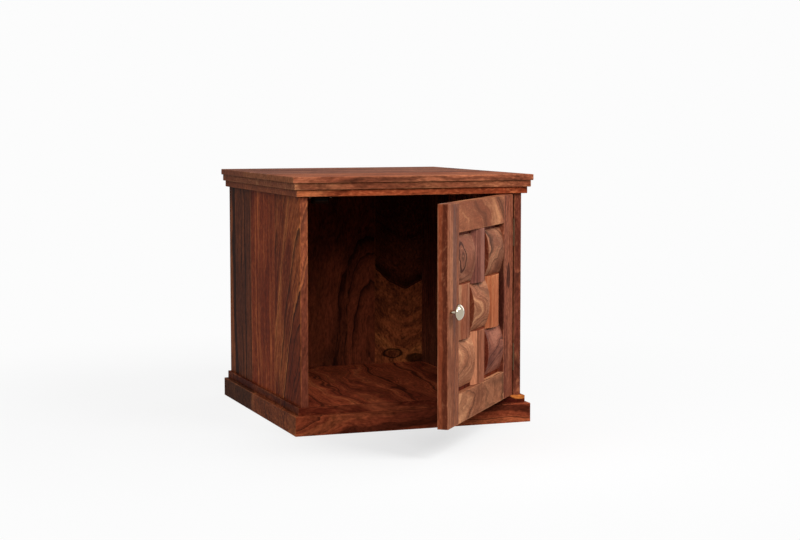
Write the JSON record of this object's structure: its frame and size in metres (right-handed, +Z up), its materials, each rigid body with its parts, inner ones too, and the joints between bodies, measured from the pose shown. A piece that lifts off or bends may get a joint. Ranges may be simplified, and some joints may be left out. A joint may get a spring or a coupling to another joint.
{
  "type": "storage side table",
  "caption": "Square side table in dark rosewood: a stepped top and base around a cabinet, with a hinged front door of basket-weave bowed blocks and a round metal knob.",
  "frame": {"origin": "on the floor, under the middle of the carcass (the box inside the cornice and plinth)", "axes": "+Z up, the door's side faces -Y, +X to the right when facing the door, where its hinges are"},
  "size_m": [0.457, 0.7995, 0.457],
  "materials": {
    "top_rosewood": "satin lacquer over dark-stained rosewood, grain from side to side",
    "carcass_rosewood": "satin lacquer over dark-stained rosewood, grain upright",
    "inside_rosewood": "thin lacquer over stained rosewood",
    "base_rosewood": "satin lacquer over dark-stained rosewood, grain lengthwise",
    "door_rosewood": "satin lacquer over rosewood, grain along each piece",
    "block_rosewood": "satin lacquer over figured rosewood",
    "plain_wood": "bare sawn wood",
    "polished_chrome": "mirror polish",
    "hinge_steel": "dull plated steel",
    "catch_plastic": "moulded brown plastic",
    "magnet_ferrite": "dark grey ferrite"
  },
  "bodies": {
    "cabinet": {"back_board_1": "inside_rosewood", "back_board_2": "inside_rosewood", "back_board_3": "inside_rosewood", "back_board_4": "inside_rosewood", "base_step_front": "base_rosewood", "base_step_left": "base_rosewood", "base_step_right": "base_rosewood", "carcass_top": "top_rosewood", "catch_case": "catch_plastic", "catch_magnet": "magnet_ferrite", "catch_pole_plates": "hinge_steel", "cornice_board": "top_rosewood", "floor_panel": "inside_rosewood", "hinge_bottom_cabinet_leaf": "hinge_steel", "hinge_pins": "hinge_steel", "hinge_top_cabinet_leaf": "hinge_steel", "left_side_front": "carcass_rosewood", "left_side_middle": "carcass_rosewood", "left_side_rear": "carcass_rosewood", "plinth_corner_blocks": "plain_wood", "plinth_front": "base_rosewood", "plinth_left": "base_rosewood", "plinth_rear": "base_rosewood", "plinth_right": "base_rosewood", "right_side_front": "carcass_rosewood", "right_side_middle": "carcass_rosewood", "right_side_rear": "carcass_rosewood", "top_board_front": "top_rosewood", "top_board_middle": "top_rosewood", "top_board_rear": "top_rosewood"},
    "door": {"door_knob": "polished_chrome", "door_panel": "door_rosewood", "door_rail_bottom": "door_rosewood", "door_rail_top": "door_rosewood", "door_stile_free": "door_rosewood", "door_stile_hinge": "door_rosewood", "hinge_bottom_door_leaf": "hinge_steel", "hinge_top_door_leaf": "hinge_steel", "knob_screw": "hinge_steel", "knob_washer": "hinge_steel", "strike_plate": "hinge_steel", "weave_block_1_1": "block_rosewood", "weave_block_1_2": "block_rosewood", "weave_block_1_3": "block_rosewood", "weave_block_2_1": "block_rosewood", "weave_block_2_2": "block_rosewood", "weave_block_2_3": "block_rosewood", "weave_block_3_1": "block_rosewood", "weave_block_3_2": "block_rosewood", "weave_block_3_3": "block_rosewood"}
  },
  "joints": [
    {"name": "door_hinge", "type": "hinge", "parent": "cabinet", "child": "door", "pos_m": [0.1964, -0.2439, 0.2355], "axis": [0, 0, 1], "range_deg": [-50.6, 119.4]}
  ]
}
